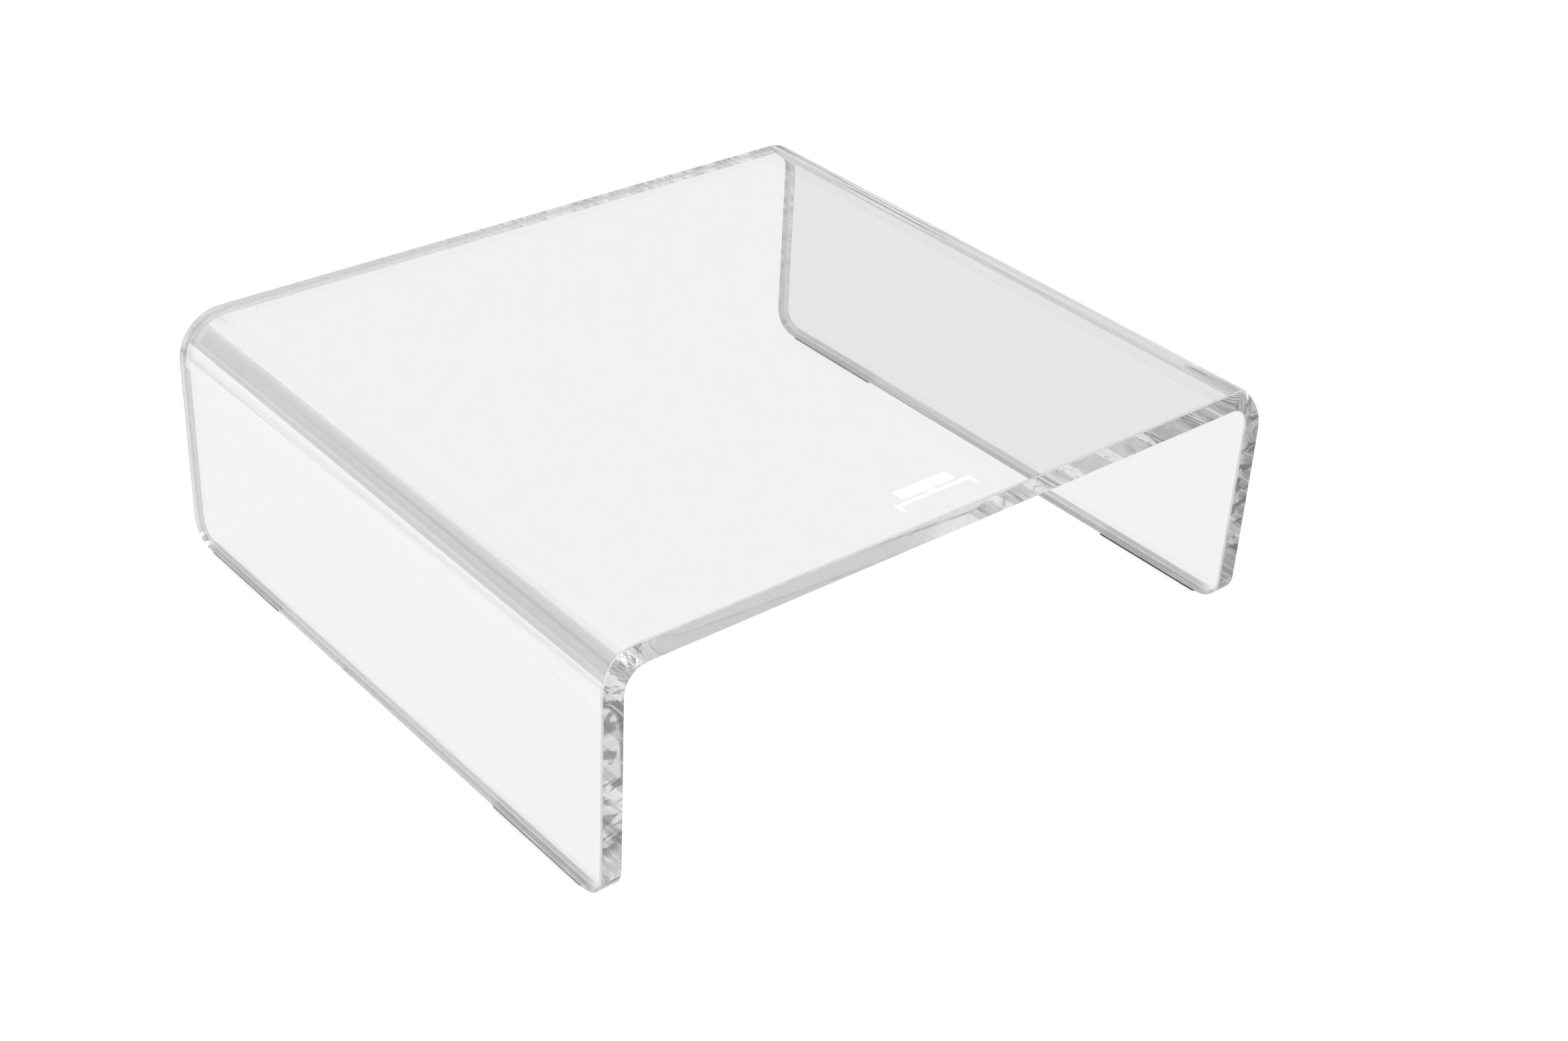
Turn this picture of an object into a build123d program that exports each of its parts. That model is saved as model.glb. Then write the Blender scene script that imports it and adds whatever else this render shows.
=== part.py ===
"""Monitor riser stand: one clear acrylic sheet, hot-bent twice into a low bridge, on anti-slip strips.

Frame: X across the stand, from leg to leg; Y from the front edge (-Y) to the rear edge (+Y); Z up.
The origin is on the floor, midway between the legs and midway between the front and rear edges.
All sizes are in millimetres.
"""

import os

from build123d import *

os.makedirs("parts", exist_ok=True)

# Overall size
width = 295  # over the outsides of both legs
depth = 262  # from the front edge to the rear edge
height = 95  # from the floor to the top of the deck

# Acrylic sheet
sheet_thickness = 8
bend_outside_radius = 18
bend_inside_radius = 9  # as bent: the inside is a little tighter than the outside less the thickness
foot_corner_radius = 10  # the lower front and rear corner of each leg
polished_bevel = 0.4  # along every sawn edge, both sides of the sheet

# Anti-slip strips, one near each end of each leg
strip_length = 50
strip_width = 7
strip_thickness = 0.6
strip_corner_radius = 1
strip_end_gap = 11.5  # from the sheet's front or rear edge to the near end of the strip
film_thickness = 0.15  # adhesive film that holds the strip
film_margin = 0.2  # the film stops short of the strip's outline

# Printed mark on the underside of the deck: a plain screen standing on a riser
mark_width = 34
mark_line = 1.8  # thickness of the riser in the mark
mark_leg_height = 3.2
mark_neck_width = 3
mark_neck_height = 1.2
mark_screen_width = 24
mark_screen_height = 5.5
mark_screen_corner_radius = 1
mark_front_gap = 13  # from the deck's front edge to the feet of the mark's riser
ink_thickness = 0.06

tolerance = 0.01  # for telling edges apart

# Levels and places worked out from the sizes above
sheet_bottom = strip_thickness + film_thickness
deck_underside = height - sheet_thickness
gap_width = width - 2 * sheet_thickness
leg_centre = (width - sheet_thickness) / 2
strip_centre = (depth - strip_length) / 2 - strip_end_gap
mark_front = mark_front_gap - depth / 2
mark_riser_height = mark_leg_height + mark_line
mark_screen_bottom = mark_riser_height + mark_neck_height


def save(piece, name):
    """Label a finished piece and write it to its own STEP file."""
    piece.label = name
    export_step(piece, f"parts/{name}.step")


def is_rim(edge):
    """True where a broad face meets a sawn edge: not on a bend line, nor straight across the sheet."""
    runs_along_depth = abs(edge.tangent_at(0.5).Y) > 1 - tolerance
    if runs_along_depth:
        return abs(edge.center().Z - sheet_bottom) < tolerance
    return abs(edge.length - sheet_thickness) > tolerance


# Riser sheet: the deck, two bends and two legs in one piece
with BuildPart() as riser_sheet:
    with BuildSketch(Plane.XZ.offset(-depth / 2)) as bridge:
        with Locations((0, sheet_bottom)):
            Rectangle(width, height - sheet_bottom, align=(Align.CENTER, Align.MIN))
        fillet(bridge.vertices().group_by(Axis.Y)[-1], bend_outside_radius)
        with BuildSketch(mode=Mode.SUBTRACT) as gap:
            with Locations((0, sheet_bottom)):
                Rectangle(gap_width, deck_underside - sheet_bottom, align=(Align.CENTER, Align.MIN))
            fillet(gap.vertices().group_by(Axis.Y)[-1], bend_inside_radius)
    extrude(amount=depth)
    fillet(riser_sheet.edges().filter_by(Axis.X).group_by(Axis.Z)[0], foot_corner_radius)
    chamfer(riser_sheet.edges().filter_by(is_rim), polished_bevel)
save(riser_sheet.part, "riser_sheet")

# Anti-slip strips, each with the adhesive film that holds it
for side, leg_x in (("left", -leg_centre), ("right", leg_centre)):
    for end, strip_y in (("front", -strip_centre), ("rear", strip_centre)):
        with BuildPart() as anti_slip_strip:
            with BuildSketch(Plane((leg_x, strip_y, 0))):
                RectangleRounded(strip_width, strip_length, strip_corner_radius)
            extrude(amount=strip_thickness)
        save(anti_slip_strip.part, f"anti_slip_strip_{end}_{side}")

        with BuildPart() as adhesive_film:
            with BuildSketch(Plane((leg_x, strip_y, strip_thickness))):
                RectangleRounded(
                    strip_width - 2 * film_margin,
                    strip_length - 2 * film_margin,
                    strip_corner_radius - film_margin,
                )
            extrude(amount=film_thickness)
        save(adhesive_film.part, f"adhesive_film_{end}_{side}")

# Printed mark: a film of ink under the deck, near the front edge
with BuildPart() as printed_mark:
    with BuildSketch(Plane((0, mark_front, deck_underside))):
        Rectangle(mark_width, mark_riser_height, align=(Align.CENTER, Align.MIN))
        Rectangle(
            mark_width - 2 * mark_line,
            mark_leg_height,
            align=(Align.CENTER, Align.MIN),
            mode=Mode.SUBTRACT,
        )
        with Locations((0, mark_riser_height)):
            Rectangle(mark_neck_width, mark_neck_height, align=(Align.CENTER, Align.MIN))
        with Locations((0, mark_screen_bottom)):
            RectangleRounded(
                mark_screen_width,
                mark_screen_height,
                mark_screen_corner_radius,
                align=(Align.CENTER, Align.MIN),
            )
    extrude(amount=-ink_thickness)
save(printed_mark.part, "printed_mark")
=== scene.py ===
import math

import bmesh
import bpy
from mathutils import Matrix, Vector


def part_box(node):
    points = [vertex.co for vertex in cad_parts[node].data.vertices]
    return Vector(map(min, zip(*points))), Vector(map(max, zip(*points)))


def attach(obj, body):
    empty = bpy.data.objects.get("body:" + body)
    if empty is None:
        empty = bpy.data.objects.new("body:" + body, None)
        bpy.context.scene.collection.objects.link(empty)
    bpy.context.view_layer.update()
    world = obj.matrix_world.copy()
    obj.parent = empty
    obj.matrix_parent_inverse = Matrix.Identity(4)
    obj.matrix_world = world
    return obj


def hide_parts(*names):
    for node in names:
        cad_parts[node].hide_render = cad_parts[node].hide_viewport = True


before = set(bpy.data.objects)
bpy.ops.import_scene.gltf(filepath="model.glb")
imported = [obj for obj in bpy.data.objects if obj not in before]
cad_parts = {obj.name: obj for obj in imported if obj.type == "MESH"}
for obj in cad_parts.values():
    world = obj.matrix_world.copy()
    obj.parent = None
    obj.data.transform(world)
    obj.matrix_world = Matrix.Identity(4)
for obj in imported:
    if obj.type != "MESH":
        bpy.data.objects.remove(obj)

# The stand's own sizes, in metres, that its box does not give
SHEET_THICKNESS = 0.008
OUTER_BEND_RADIUS = 0.018
INNER_BEND_RADIUS = 0.009
FOOT_CORNER_RADIUS = 0.010
POLISHED_BEVEL = 0.0003
AIR_GAP = 0.00001  # the ink and the adhesive don't wet the acrylic all over
STATION_CROWDING = 1.6  # how strongly the mesh's cross-sections crowd towards the bends
SHARP_ANGLE = math.radians(20)  # edges that turn more than this aren't smoothed

# Where the sheet was stretched round the outside of a bend, its front edge draws in
DRAW_IN = 0.003
DRAW_IN_ALONG = 0.007  # how far along the sheet from the middle of the bend
DRAW_IN_ACROSS = 0.008  # how far in from the sawn edge

# The sheet's material slots
FACE = 0
SAWN_EDGE = 1
BEVEL = 2

# How bright the studio is, where 1 is white in the render
FLOOR_RADIANCE = 1.02
WALL_RADIANCE = 0.92
SOFTBOX_RADIANCE = 1.3  # overhead, on top of the walls' own
FLAG_LEAK = 0.03  # the share of the studio's light that the dark flag lets through

FLOOR_RADIUS = 4
FLOOR_GREY = 0.735
FLOOR_DROP = 0.00005  # keeps the floor off the strips' undersides

# Grey bands of painted shade along the bends, as distances along the sheet from the middle of the deck
LEFT_BEND_PAINTED_SHADE = (-0.1497, -0.1400)
LEFT_BEND_PAINTED_SKIRT = (-0.1590, -0.1497)
LEFT_BEND_SHADE_SLANT = 0.008  # it lies a little askew to the bend
RIGHT_BEND_PAINTED_SHADE = (0.1286, 0.1470)

# Stretches of the sawn edge, as distances along the sheet from the middle of the deck
SMOOTH_STRETCH = (-0.122, -0.030)  # evenly grey with painted shade, at the front
SWIRLED_BEND = (0.134, 0.154)  # on both sides
CHIPPED_LEG = (0.158, 0.212)  # on both sides

# The share of a surface that is grey diffuse instead of clear acrylic. On the faces and the polished front
# edge that grey is painted shade.
BEND_PAINTED_SHADE_SHARE = 0.62
# Bands of painted shade along the faces' outline
WIDE_RIM_PAINTED_SHADE = 0.60
NARROW_RIM_PAINTED_SHADE = 0.40
# Even painted shade along the front's smooth stretch
SMOOTH_STRETCH_SHARE = 0.55
CHIP_SHARE = 0.60
SWIRL_SHARE = 0.45

# How light the edges' haze is, where 1 is white: on the sawn edges partly frost and partly painted shade,
# on the polished ones painted shade
SAWN_FROST_AND_PAINTED_SHADE = 0.47
POLISHED_EDGE_PAINTED_SHADE = 0.14
SMOOTH_STRETCH_PAINTED_SHADE = 0.42

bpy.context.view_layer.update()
sheet_low, sheet_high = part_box("riser_sheet")
strip_low, strip_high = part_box("anti_slip_strip_rear_left")

# How far a foot is from the middle of the deck along the outside of the sheet
foot_reach = (
    sheet_high.x
    + (sheet_high.z - sheet_low.z)
    - (2 - math.pi / 2) * OUTER_BEND_RADIUS
)


# ---------------------------------------------------------------- camera


def make_camera():
    """The camera looks down on the front left corner."""
    azimuth = math.radians(41.33)
    elevation = math.radians(32.12)
    roll = math.radians(3.17)
    distance = 0.8678
    target = Vector((-0.0057, -0.0462, 0.0475))
    back = Vector(
        (
            -math.sin(azimuth) * math.cos(elevation),
            -math.cos(azimuth) * math.cos(elevation),
            math.sin(elevation),
        )
    )
    data = bpy.data.cameras.new("camera")
    data.lens = 55.71
    data.sensor_width = 36
    data.clip_start = 0.01
    camera = bpy.data.objects.new("camera", data)
    turn = (-back).to_track_quat("-Z", "Y").to_matrix() @ Matrix.Rotation(roll, 3, "Z")
    camera.matrix_world = Matrix.Translation(target + back * distance) @ turn.to_4x4()
    bpy.context.scene.collection.objects.link(camera)
    bpy.context.scene.camera = camera


# ---------------------------------------------------------------- materials


def new_material(name):
    """A new material, its node tree and its Principled shader."""
    material = bpy.data.materials.new(name)
    material.use_nodes = True
    tree = material.node_tree
    shader = tree.nodes["Principled BSDF"]
    return material, tree, shader


def grey(level):
    return (level, level, level, 1)


def scaled(tree, value, low, high, to_low, to_high):
    """value carried smoothly from the range low-high to the range to_low-to_high, and held at its ends."""
    node = tree.nodes.new("ShaderNodeMapRange")
    node.interpolation_type = "SMOOTHSTEP"
    tree.links.new(value, node.inputs["Value"])
    for socket, number in zip(("From Min", "From Max", "To Min", "To Max"), (low, high, to_low, to_high)):
        node.inputs[socket].default_value = number
    return node.outputs["Result"]


def math_node(tree, operation, first, second=None):
    """One math operation on sockets or numbers."""
    node = tree.nodes.new("ShaderNodeMath")
    node.operation = operation
    for socket, value in zip(node.inputs, (first, second)):
        if isinstance(value, bpy.types.NodeSocket):
            tree.links.new(value, socket)
        elif value is not None:
            socket.default_value = value
    return node.outputs["Value"]


def joined(tree, operation, values):
    """All the values joined, two at a time, by one math operation."""
    result = values[0]
    for value in values[1:]:
        result = math_node(tree, operation, result, value)
    return result


def product(tree, *values):
    return joined(tree, "MULTIPLY", values)


def total(tree, *values):
    return joined(tree, "ADD", values)


def largest(tree, *values):
    return joined(tree, "MAXIMUM", values)


def noise(tree, vector, stretch, scale, detail, distortion=0):
    """Noise in coordinates that are each multiplied by their own number in stretch."""
    mapping = tree.nodes.new("ShaderNodeMapping")
    mapping.inputs["Scale"].default_value = stretch
    tree.links.new(vector, mapping.inputs["Vector"])
    node = tree.nodes.new("ShaderNodeTexNoise")
    node.inputs["Scale"].default_value = scale
    node.inputs["Detail"].default_value = detail
    node.inputs["Distortion"].default_value = distortion
    tree.links.new(mapping.outputs["Vector"], node.inputs["Vector"])
    return node.outputs["Fac"]


def bump(tree, shader, height, distance):
    """Gives the shader a relief that is distance high where height is 1."""
    node = tree.nodes.new("ShaderNodeBump")
    node.inputs["Distance"].default_value = distance
    tree.links.new(height, node.inputs["Height"])
    tree.links.new(node.outputs["Normal"], shader.inputs["Normal"])


def sheet_place(tree):
    """Where a point is on the sheet as if it were flat, as a vector and as its three coordinates.

    They are the distances along the sheet from the middle of the deck, across it from the middle, and
    into it from the outer face.
    """
    node = tree.nodes.new("ShaderNodeAttribute")
    node.attribute_name = "sheet_place"
    split = tree.nodes.new("ShaderNodeSeparateXYZ")
    tree.links.new(node.outputs["Vector"], split.inputs["Vector"])
    return node.outputs["Vector"], split.outputs["X"], split.outputs["Y"], split.outputs["Z"]


def rim_distance(tree):
    """How far a point on a broad face is from the sheet's outline."""
    node = tree.nodes.new("ShaderNodeAttribute")
    node.attribute_name = "rim_distance"
    return node.outputs["Fac"]


def mixed(tree, share, first, second):
    """first where share is 0, and second where it is 1."""
    node = tree.nodes.new("ShaderNodeMix")
    for socket, value in zip(node.inputs[:4], (share, None, first, second)):
        if value is not None:
            tree.links.new(value, socket)
    return node.outputs["Result"]


def stripe(tree, value, start, end, fade):
    """1 where value is from start to end, and fading to 0 on each side of that."""
    rise = scaled(tree, value, start - fade, start, 0, 1)
    fall = scaled(tree, value, end, end + fade, 1, 0)
    return product(tree, rise, fall)


def add_haze_and_painted_shade(tree, shader, share, haze_and_shade_level):
    """Mixes a grey diffuse into a clear shader, for haze and for painted shade. The share and the level of
    the grey are sockets.
    """
    grey_diffuse = tree.nodes.new("ShaderNodeBsdfDiffuse")
    tree.links.new(haze_and_shade_level, grey_diffuse.inputs["Color"])
    blend = tree.nodes.new("ShaderNodeMixShader")
    tree.links.new(share, blend.inputs["Fac"])
    tree.links.new(shader.outputs["BSDF"], blend.inputs[1])
    tree.links.new(grey_diffuse.outputs["BSDF"], blend.inputs[2])
    tree.links.new(blend.outputs["Shader"], tree.nodes["Material Output"].inputs["Surface"])


def clear_acrylic(name, tint):
    """A new material of clear acrylic, its node tree and its Principled shader."""
    material, tree, shader = new_material(name)
    shader.inputs["Base Color"].default_value = grey(tint)
    shader.inputs["Roughness"].default_value = 0
    shader.inputs["IOR"].default_value = 1.49
    shader.inputs["Transmission Weight"].default_value = 1
    return material, tree, shader


def behind_front_edge(tree, across):
    return scaled(tree, across, sheet_low.y + 0.004, sheet_low.y + 0.012, 0, 1)


def painted_shade_lines(tree, lines):
    """The sum of thin lines of painted shade, each given by a coordinate, start, end, darkness and where it
    shows.
    """
    fade = 0.0003
    shown = [
        product(tree, stripe(tree, place, start, end, fade), darkness, where)
        for place, start, end, darkness, where in lines
    ]
    return total(tree, *shown)


def painted_bend_shade_level(tree, place, left_place, along, across):
    """How light the painted shade of the bends is: streaks along the bends, strongest in patches, and a few
    darker lines.
    """
    towards_rear = scaled(tree, across, 0.010, 0.035, 0, 1)
    towards_front = scaled(tree, across, -0.090, -0.030, 1, 0)
    at_front_end = scaled(tree, across, -0.110, -0.104, 1, 0)
    streaks = scaled(tree, noise(tree, place, (1, 0.02, 0), 560, 1), 0.3, 0.7, -0.5, 0.5)
    patches = scaled(tree, noise(tree, place, (0.1, 1, 0), 20, 0), 0.46, 0.56, 0.3, 1.4)
    left_to_right = scaled(tree, along, -0.12, 0.12, 0.07, 0.30)
    by_end = largest(tree, towards_rear, at_front_end, 0.25)
    streak_depth = product(tree, left_to_right, patches, by_end)
    level = total(tree, product(tree, streaks, streak_depth), scaled(tree, along, -0.12, 0.12, 0.50, 0.46))
    lines = painted_shade_lines(
        tree,
        (
            (left_place, -0.1438, -0.1431, 0.12, scaled(tree, across, -0.08, 0.11, 1, 0)),
            (left_place, -0.1493, -0.1478, 0.07, behind_front_edge(tree, across)),
            (left_place, -0.1470, -0.1463, 0.10, towards_front),
            (along, 0.1306, 0.1313, 0.22, stripe(tree, across, 0.025, 0.075, 0.010)),
            (along, 0.1332, 0.1340, 0.22, towards_rear),
            (along, 0.1290, 0.1335, 0.20, at_front_end),
        ),
    )
    return math_node(tree, "SUBTRACT", level, lines)


def painted_rim_shade(tree, along, across, on_inner_face):
    """Grey shade painted along the faces' outline: a fine band all round, and a wide one in most places."""
    distance = rim_distance(tree)
    off_left_leg = scaled(tree, along, -0.14, -0.12, 0, 1)
    where_wide = product(tree, largest(tree, on_inner_face, off_left_leg), behind_front_edge(tree, across))
    wide_painted_shade = product(tree, scaled(tree, distance, 0.0020, 0.0026, WIDE_RIM_PAINTED_SHADE, 0), where_wide)
    narrow_painted_shade = scaled(tree, distance, 0.0004, 0.0009, NARROW_RIM_PAINTED_SHADE, 0)
    return largest(tree, wide_painted_shade, narrow_painted_shade)


def broad_face():
    """The sheet's two polished faces, with grey shade painted along the bends and at the rim."""
    material, tree, shader = clear_acrylic("acrylic_broad_face", 0.87)
    place, along, across, depth = sheet_place(tree)
    on_inner_face = scaled(tree, depth, 0.003, 0.005, 0, 1)

    # The left bend's painted shade, and a paler painted band just below it. Both end short of the rear
    # edge.
    left_place = math_node(tree, "SUBTRACT", along, product(tree, across, LEFT_BEND_SHADE_SLANT))
    left_share = scaled(tree, across, sheet_high.y - 0.0055, sheet_high.y - 0.0040, BEND_PAINTED_SHADE_SHARE, 0)
    left_painted_shade = product(tree, stripe(tree, left_place, *LEFT_BEND_PAINTED_SHADE, 0.0003), left_share)
    skirt = product(tree, stripe(tree, left_place, *LEFT_BEND_PAINTED_SKIRT, 0.0003), left_share)

    # The right bend's painted shade, which is on the outer face alone
    right_painted_shade = math_node(tree, "SUBTRACT", stripe(tree, along, *RIGHT_BEND_PAINTED_SHADE, 0.0005), on_inner_face)
    right_painted_shade = product(tree, largest(tree, right_painted_shade, 0), BEND_PAINTED_SHADE_SHARE)

    # A band of grey shade painted along the faces' outline
    rim = painted_rim_shade(tree, along, across, on_inner_face)
    share = largest(tree, total(tree, left_painted_shade, right_painted_shade), skirt, rim)
    on_skirt = scaled(tree, skirt, 0, 0.03, 0, 1)
    # The paler painted band below the left bend is painted lighter further down the leg
    skirt_lift = product(tree, on_skirt, scaled(tree, left_place, -0.1560, -0.1490, 0.39, 0.31))
    level = total(tree, painted_bend_shade_level(tree, place, left_place, along, across), skirt_lift)
    # Painted shade: the grey is darker along the rim
    level = product(tree, level, scaled(tree, rim, 0, 0.3, 1, 0.86))
    add_haze_and_painted_shade(tree, shader, share, level)
    return material


def front_edge_share(tree, place, along, marks, swirls, smooth_stretch):
    """The haze on the front edge, whose grey is painted shade: faint saw marks, one even stretch, and chips
    and swirls at the sides.
    """
    off_smooth = scaled(tree, smooth_stretch, 0, 1, 1, 0)
    faint_marks = product(tree, scaled(tree, marks, 0.35, 0.7, 0.02, 0.12), off_smooth)
    # An even band of painted shade along the smooth stretch
    even = product(tree, smooth_stretch, SMOOTH_STRETCH_SHARE)
    towards_right = scaled(tree, along, 0.075, 0.095, 0, 0.12)
    from_middle = math_node(tree, "ABSOLUTE", along)
    chips = scaled(tree, noise(tree, place, (1, 1, 0.35), 190, 2, 1.5), 0.50, 0.60, 0, CHIP_SHARE)
    chips = product(tree, chips, stripe(tree, from_middle, *CHIPPED_LEG, 0.006))
    in_swirls = scaled(tree, swirls, 0.50, 0.62, 0, SWIRL_SHARE)
    return total(tree, faint_marks, even, towards_right, chips, in_swirls)


def sawn_edge():
    """The sheet's sawn edge, with saw marks across it. The front one and the feet were polished. Its grey
    haze is partly frost and partly painted shade, and on the polished stretches painted shade alone.
    """
    material, tree, shader = clear_acrylic("acrylic_sawn_edge", 1)
    shader.inputs["Roughness"].default_value = 0.02
    place, along, across, _ = sheet_place(tree)
    from_middle = math_node(tree, "ABSOLUTE", along)
    smooth_stretch = stripe(tree, along, *SMOOTH_STRETCH, 0.020)

    marks = noise(tree, place, (1, 1, 0.25), 420, 3, 0.6)
    waves = noise(tree, place, (1, 1, 0.1), 110, 1)
    swirls = noise(tree, place, (1, 1, 0.6), 210, 1, 2.5)
    swirls = product(tree, swirls, stripe(tree, from_middle, *SWIRLED_BEND, 0.005))
    relief = total(tree, product(tree, marks, 0.3), waves, product(tree, swirls, 3.2))
    relief = product(tree, relief, scaled(tree, smooth_stretch, 0, 1, 1, 0.05))
    bump(tree, shader, relief, 0.000025)

    on_foot = scaled(tree, from_middle, foot_reach - 0.006, foot_reach - 0.002, 0, 1)
    at_front = scaled(tree, across, sheet_low.y + 0.0005, sheet_low.y + 0.005, 1, 0)
    at_rear = scaled(tree, across, sheet_high.y - 0.009, sheet_high.y - 0.007, 0, 1)
    off_centre = math_node(tree, "ABSOLUTE", across)
    on_strip = product(tree, stripe(tree, off_centre, strip_low.y, strip_high.y, 0.0008), on_foot)

    rear_share = scaled(tree, marks, 0.35, 0.7, 0.35, 0.44)
    foot_share = scaled(tree, marks, 0.35, 0.7, 0.04, 0.16)
    wetting = scaled(tree, noise(tree, place, (1, 0.12, 1), 500, 2), 0.35, 0.65, 0.16, 0.50)
    # Dark facets painted at the rear of each foot: painted reflections of the dark strips
    painted_dark_facets = scaled(tree, noise(tree, place, (1, 1, 0.1), 260, 0), 0.42, 0.55, 0.15, 0.75)
    front_share = front_edge_share(tree, place, along, marks, swirls, smooth_stretch)
    share = mixed(tree, on_foot, rear_share, foot_share)
    share = mixed(tree, on_strip, share, wetting)
    share = mixed(tree, product(tree, on_foot, at_rear), share, painted_dark_facets)
    share = mixed(tree, at_front, share, front_share)

    # The grey: partly frost and partly painted shade on the sawn edge, painted shade where polished
    polished = largest(tree, at_front, on_foot)
    polished_painted_shade = scaled(tree, smooth_stretch, 0, 1, POLISHED_EDGE_PAINTED_SHADE, SMOOTH_STRETCH_PAINTED_SHADE)
    level = scaled(tree, polished, 0, 1, SAWN_FROST_AND_PAINTED_SHADE, 0)
    level = total(tree, level, product(tree, polished, polished_painted_shade))
    add_haze_and_painted_shade(tree, shader, share, level)
    return material


def bevel_edge():
    """The narrow bevels that break the sheet's edges: slightly rough, with grey shade painted on, lighter
    where the front edge is.
    """
    material, tree, shader = clear_acrylic("acrylic_bevel", 1)
    shader.inputs["Roughness"].default_value = 0.15
    place, _, across, _ = sheet_place(tree)
    # Grey shade painted on the polished bevels, lighter towards the front edge
    share = scaled(tree, noise(tree, place, (1, 1, 1), 300, 2), 0.3, 0.7, 0.5, 0.7)
    level = scaled(tree, across, sheet_low.y + 0.001, sheet_low.y + 0.006, 0.66, 0.48)
    add_haze_and_painted_shade(tree, shader, share, level)
    return material


def object_place(tree):
    """Where a point is in its own object's coordinates."""
    return tree.nodes.new("ShaderNodeTexCoord").outputs["Object"]


def mottled(tree, shader, place, scale, dark, light):
    """Gives the shader a base colour that wanders between two greys, and returns the noise behind it."""
    patches = noise(tree, place, (1, 1, 1), scale, 4)
    tree.links.new(scaled(tree, patches, 0.3, 0.7, dark, light), shader.inputs["Base Color"])
    return patches


def dark_rubber():
    """Matt black rubber with a fine moulded grain and a grey bloom."""
    material, tree, shader = new_material("dark_rubber")
    place = object_place(tree)
    mottled(tree, shader, place, 260, 0.012, 0.034)
    grain = noise(tree, place, (1, 1, 1), 3200, 2)
    tree.links.new(scaled(tree, grain, 0.3, 0.7, 0.72, 0.92), shader.inputs["Roughness"])
    bump(tree, shader, grain, 0.00006)
    return material


def adhesive():
    """A thin smoky film of adhesive, glossy where it wets the strip and dull where it doesn't."""
    material, tree, shader = new_material("adhesive_film")
    place = object_place(tree)
    wet = mottled(tree, shader, place, 700, 0.02, 0.06)
    tree.links.new(scaled(tree, wet, 0.4, 0.6, 0.2, 0.6), shader.inputs["Roughness"])
    bump(tree, shader, wet, 0.00002)
    return material


def white_ink():
    """Screen-printed white ink, satin and very slightly uneven."""
    material, tree, shader = new_material("white_ink")
    place = object_place(tree)
    weave = mottled(tree, shader, place, 2200, 0.84, 0.94)
    tree.links.new(scaled(tree, weave, 0.3, 0.7, 0.42, 0.62), shader.inputs["Roughness"])
    bump(tree, shader, weave, 0.000008)
    return material


# ---------------------------------------------------------------- riser sheet


def sheet_stations():
    """Cross-sections of the sheet from the left foot to the middle of the deck, as dictionaries.

    outer and inner are points (x, z) on the two broad faces, reach is how far the section runs to each
    side of the middle, along and across are the outline's outward direction in the sheet's own plane, and
    from_bend is the distance along the sheet from the middle of the bend. run is the distance along the
    outer face from the left foot.
    """
    half_depth = (sheet_high.y - sheet_low.y) / 2
    left = sheet_low.x
    foot = sheet_low.z + AIR_GAP
    top = sheet_high.z
    middle_radius = (OUTER_BEND_RADIUS + INNER_BEND_RADIUS) / 2
    bend_half_length = middle_radius * math.pi / 4
    outer_centre = Vector((left + OUTER_BEND_RADIUS, top - OUTER_BEND_RADIUS))
    inner_corner = Vector((left + SHEET_THICKNESS, top - SHEET_THICKNESS))
    inner_centre = inner_corner + Vector((INNER_BEND_RADIUS, -INNER_BEND_RADIUS))
    stations = []

    def add(outer, inner, reach, along, across, from_bend):
        run = stations[-1]["run"] + (Vector(outer) - stations[-1]["outer"]).length if stations else 0
        stations.append(
            {
                "outer": Vector(outer),
                "inner": Vector(inner),
                "reach": reach,
                "along": along,
                "across": across,
                "from_bend": from_bend,
                "run": run,
            }
        )

    def add_leg(height, reach, along, across):
        from_bend = bend_half_length + outer_centre.y - (foot + height)
        add(
            (left, foot + height),
            (left + SHEET_THICKNESS, foot + height),
            reach,
            along,
            across,
            from_bend,
        )

    corner_steps = 12
    for step in range(corner_steps + 1):
        angle = math.pi / 2 * step / corner_steps
        add_leg(
            FOOT_CORNER_RADIUS * (1 - math.cos(angle)),
            half_depth - FOOT_CORNER_RADIUS * (1 - math.sin(angle)),
            math.cos(angle),
            math.sin(angle),
        )
    leg_top = outer_centre.y - foot
    leg_steps = 10
    for step in range(1, leg_steps):
        share = 1 - (1 - step / leg_steps) ** STATION_CROWDING
        add_leg(FOOT_CORNER_RADIUS + (leg_top - FOOT_CORNER_RADIUS) * share, half_depth, 0, 1)
    bend_steps = 32
    for step in range(bend_steps + 1):
        angle = math.pi / 2 * step / bend_steps
        way = Vector((-math.cos(angle), math.sin(angle)))
        add(
            outer_centre + way * OUTER_BEND_RADIUS,
            inner_centre + way * INNER_BEND_RADIUS,
            half_depth,
            0,
            1,
            middle_radius * abs(angle - math.pi / 4),
        )
    deck_steps = 10
    for step in range(1, deck_steps + 1):
        share = (step / deck_steps) ** STATION_CROWDING
        add(
            (outer_centre.x * (1 - share), top),
            (inner_centre.x * (1 - share), top - SHEET_THICKNESS + AIR_GAP),
            half_depth,
            0,
            1,
            bend_half_length - outer_centre.x * share,
        )
    return stations


def mirrored(stations):
    """The half of the sheet that stations leave out, from the middle of the deck to the right foot."""
    other = []
    for station in reversed(stations[:-1]):
        copy = dict(station)
        copy["outer"] = Vector((-station["outer"].x, station["outer"].y))
        copy["inner"] = Vector((-station["inner"].x, station["inner"].y))
        copy["run"] = 2 * stations[-1]["run"] - station["run"]
        other.append(copy)
    return other


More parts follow.
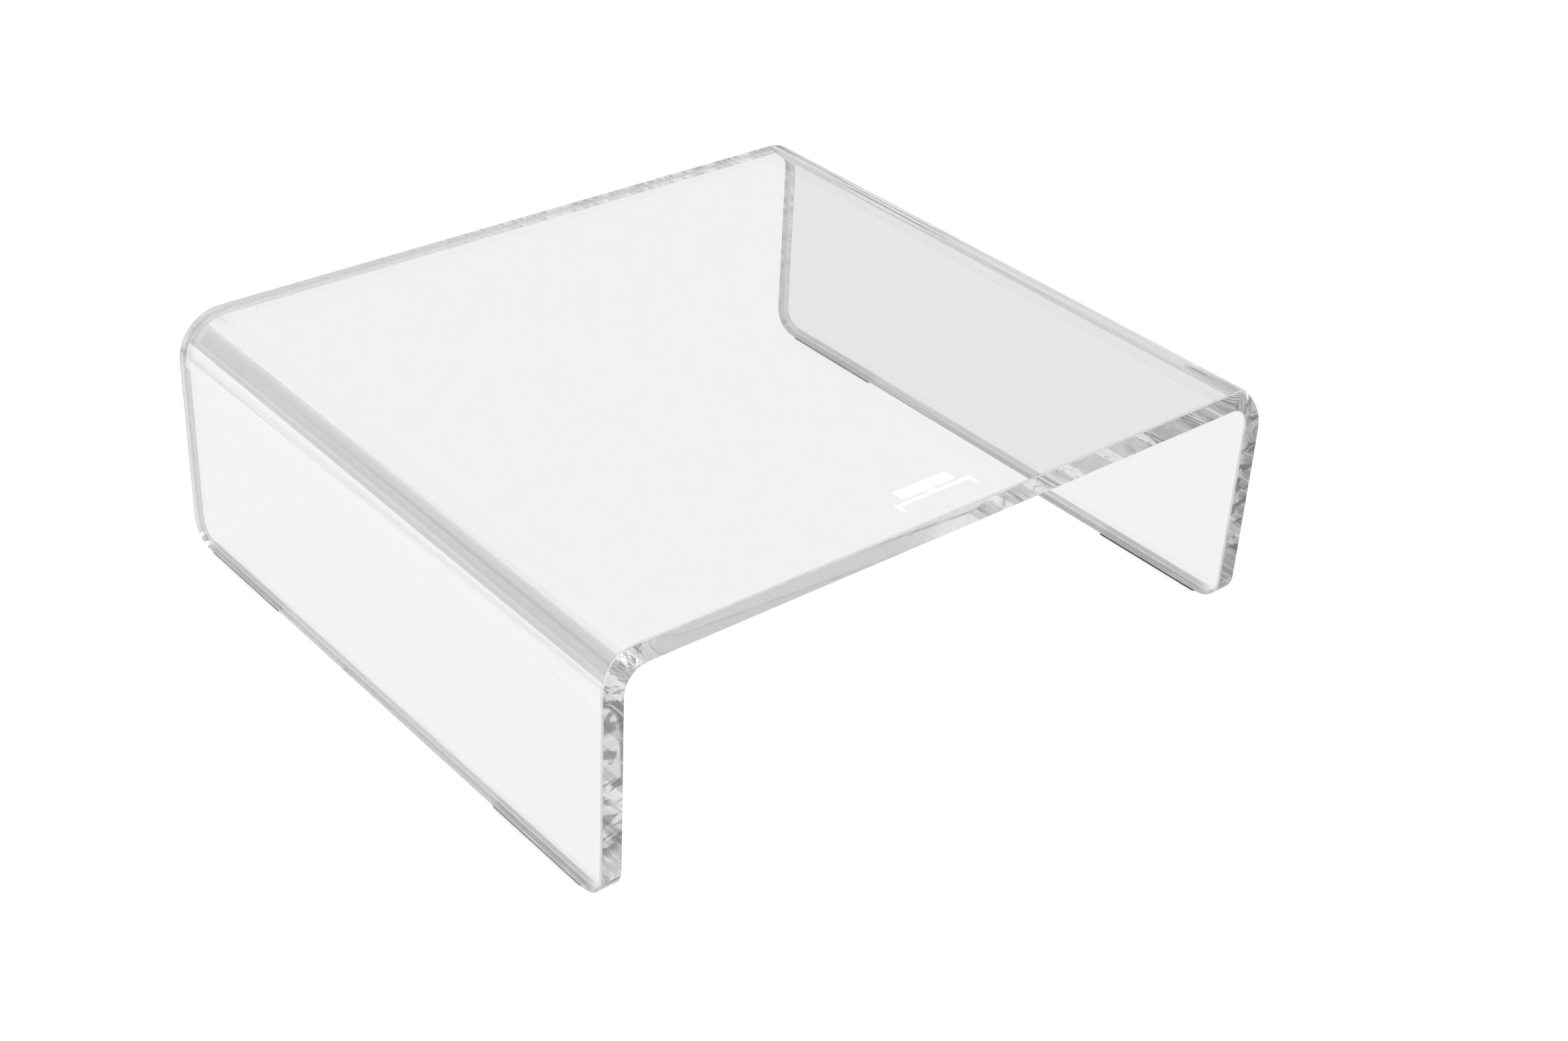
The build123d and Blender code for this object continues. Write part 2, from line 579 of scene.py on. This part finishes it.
def make_sheet():
    """The bent sheet as one closed mesh: two broad faces, and a bevelled sawn edge all round."""
    stations = sheet_stations()
    stations += mirrored(stations)
    half_depth = (sheet_high.y - sheet_low.y) / 2
    millimetres_from_edge = [0, 0.8, 1.6, 2.6, 4.2, 6.4, 9.5, 14, 22, 40, 80]
    columns = [1 - distance / 1000 / half_depth for distance in millimetres_from_edge]
    columns = columns + [0] + [-share for share in reversed(columns)]
    bevel_share = POLISHED_BEVEL / SHEET_THICKNESS

    def point(station, depth_share, column, bevelled):
        """depth_share is 0 on the outer face and 1 on the inner one."""
        inset = 0 if bevelled else POLISHED_BEVEL
        across = station["outer"].lerp(station["inner"], depth_share)
        reach = station["reach"] - inset * station["across"]
        side = reach * column
        draw = DRAW_IN * math.exp(-((station["from_bend"] / DRAW_IN_ALONG) ** 2)) * (1 - depth_share)
        draw *= math.exp(-(reach - abs(side)) / DRAW_IN_ACROSS)
        if column < 0:
            side += draw
        return Vector((across.x, side, across.y + inset * station["along"]))

    work = bmesh.new()
    place_layer = work.verts.layers.float_vector.new("sheet_place")
    rim_layer = work.verts.layers.float.new("rim_distance")
    last = len(stations) - 1
    last_column = len(columns) - 1
    half_run = stations[-1]["run"] / 2

    def vertex(station, depth_share, column, bevelled):
        made = work.verts.new(point(station, depth_share, column, bevelled))
        side = station["reach"] * column
        made[place_layer] = (station["run"] - half_run, side, depth_share * SHEET_THICKNESS)
        to_foot = half_run - abs(station["run"] - half_run)
        in_corner = Vector(
            (max(FOOT_CORNER_RADIUS - to_foot, 0), max(FOOT_CORNER_RADIUS - half_depth + abs(side), 0))
        )
        made[rim_layer] = min(to_foot, half_depth - abs(side), FOOT_CORNER_RADIUS - in_corner.length)
        return made

    def grid(depth_share):
        return [
            [vertex(station, depth_share, column, False) for column in columns] for station in stations
        ]

    def rim(depth_share):
        """Bevelled-edge vertices: every column at the two feet, and only the two ends elsewhere."""
        rows = []
        for number, station in enumerate(stations):
            wanted = range(last_column + 1) if number in (0, last) else (0, last_column)
            rows.append({k: vertex(station, depth_share, columns[k], True) for k in wanted})
        return rows

    outer = grid(0)
    inner = grid(1)
    outer_rim = rim(bevel_share)
    inner_rim = rim(1 - bevel_share)
    rim_strips = ((outer, outer_rim, BEVEL), (outer_rim, inner_rim, SAWN_EDGE), (inner_rim, inner, BEVEL))

    def face(corners, material):
        made = work.faces.new(corners)
        made.material_index = material
        made.smooth = True

    for a in range(last):
        for k in range(last_column):
            face((outer[a][k], outer[a + 1][k], outer[a + 1][k + 1], outer[a][k + 1]), FACE)
            face((inner[a][k], inner[a][k + 1], inner[a + 1][k + 1], inner[a + 1][k]), FACE)
        for k in (0, last_column):
            for one, two, material in rim_strips:
                face((one[a][k], two[a][k], two[a + 1][k], one[a + 1][k]), material)
    for a in (0, last):
        for k in range(last_column):
            for one, two, material in rim_strips:
                face((one[a][k], one[a][k + 1], two[a][k + 1], two[a][k]), material)
    bmesh.ops.recalc_face_normals(work, faces=work.faces)
    for edge in work.edges:
        edge.smooth = edge.calc_face_angle(0) < SHARP_ANGLE
    mesh = bpy.data.meshes.new("bent_acrylic_sheet")
    work.to_mesh(mesh)
    work.free()
    sheet = bpy.data.objects.new("bent_acrylic_sheet", mesh)
    bpy.context.scene.collection.objects.link(sheet)
    for material in (broad_face(), sawn_edge(), bevel_edge()):
        mesh.materials.append(material)
    sheet.visible_shadow = False
    sheet.visible_diffuse = False
    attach(sheet, "root")
    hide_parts("riser_sheet")


# ---------------------------------------------------------------- small pieces


def dress_small_pieces():
    """The CAD's own strips, films and mark stay, and get the materials that their names call for."""
    materials = {"anti_slip_strip": dark_rubber(), "adhesive_film": adhesive(), "printed_mark": white_ink()}
    for name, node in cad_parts.items():
        for start, material in materials.items():
            if name.startswith(start):
                node.data.materials.clear()
                node.data.materials.append(material)


# ---------------------------------------------------------------- floor and light


def make_floor():
    """A plain pale floor, matt, so that it shows neither a reflection nor a horizon."""
    work = bmesh.new()
    bmesh.ops.create_circle(work, cap_ends=True, segments=96, radius=FLOOR_RADIUS)
    mesh = bpy.data.meshes.new("floor")
    work.to_mesh(mesh)
    work.free()
    floor = bpy.data.objects.new("floor", mesh)
    floor.location.z = -FLOOR_DROP
    material, _, shader = new_material("white_floor")
    shader.inputs["Base Color"].default_value = grey(FLOOR_GREY)
    shader.inputs["Roughness"].default_value = 0.9
    shader.inputs["Specular IOR Level"].default_value = 0
    mesh.materials.append(material)
    bpy.context.scene.collection.objects.link(floor)


def make_studio():
    """A white cyclorama: bright overhead and at the floor, greyer walls, and a dark flag at the back."""
    world = bpy.data.worlds.new("studio")
    bpy.context.scene.world = world
    world.use_nodes = True
    tree = world.node_tree
    background = tree.nodes["Background"]
    background.inputs["Color"].default_value = grey(1)
    coordinates = tree.nodes.new("ShaderNodeTexCoord")
    split = tree.nodes.new("ShaderNodeSeparateXYZ")
    tree.links.new(coordinates.outputs["Generated"], split.inputs["Vector"])
    height = split.outputs["Z"]
    walls = scaled(tree, height, 0.14, 0.28, FLOOR_RADIANCE, WALL_RADIANCE)
    softbox = scaled(tree, height, 0.70, 0.84, 0, SOFTBOX_RADIANCE)
    flag_direction = Vector((-0.53, 0.60, 0.60)).normalized()
    facing = tree.nodes.new("ShaderNodeVectorMath")
    facing.operation = "DOT_PRODUCT"
    facing.inputs[1].default_value = flag_direction
    tree.links.new(coordinates.outputs["Generated"], facing.inputs[0])
    open_share = scaled(tree, facing.outputs["Value"], 0.935, 0.955, 1, FLAG_LEAK)
    radiance = product(tree, total(tree, walls, softbox), open_share)
    tree.links.new(radiance, background.inputs["Strength"])
    scene = bpy.context.scene
    scene.view_settings.view_transform = "Standard"
    scene.cycles.max_bounces = 48
    scene.cycles.glossy_bounces = 40
    scene.cycles.transmission_bounces = 40


make_camera()
make_sheet()
dress_small_pieces()
make_floor()
make_studio()
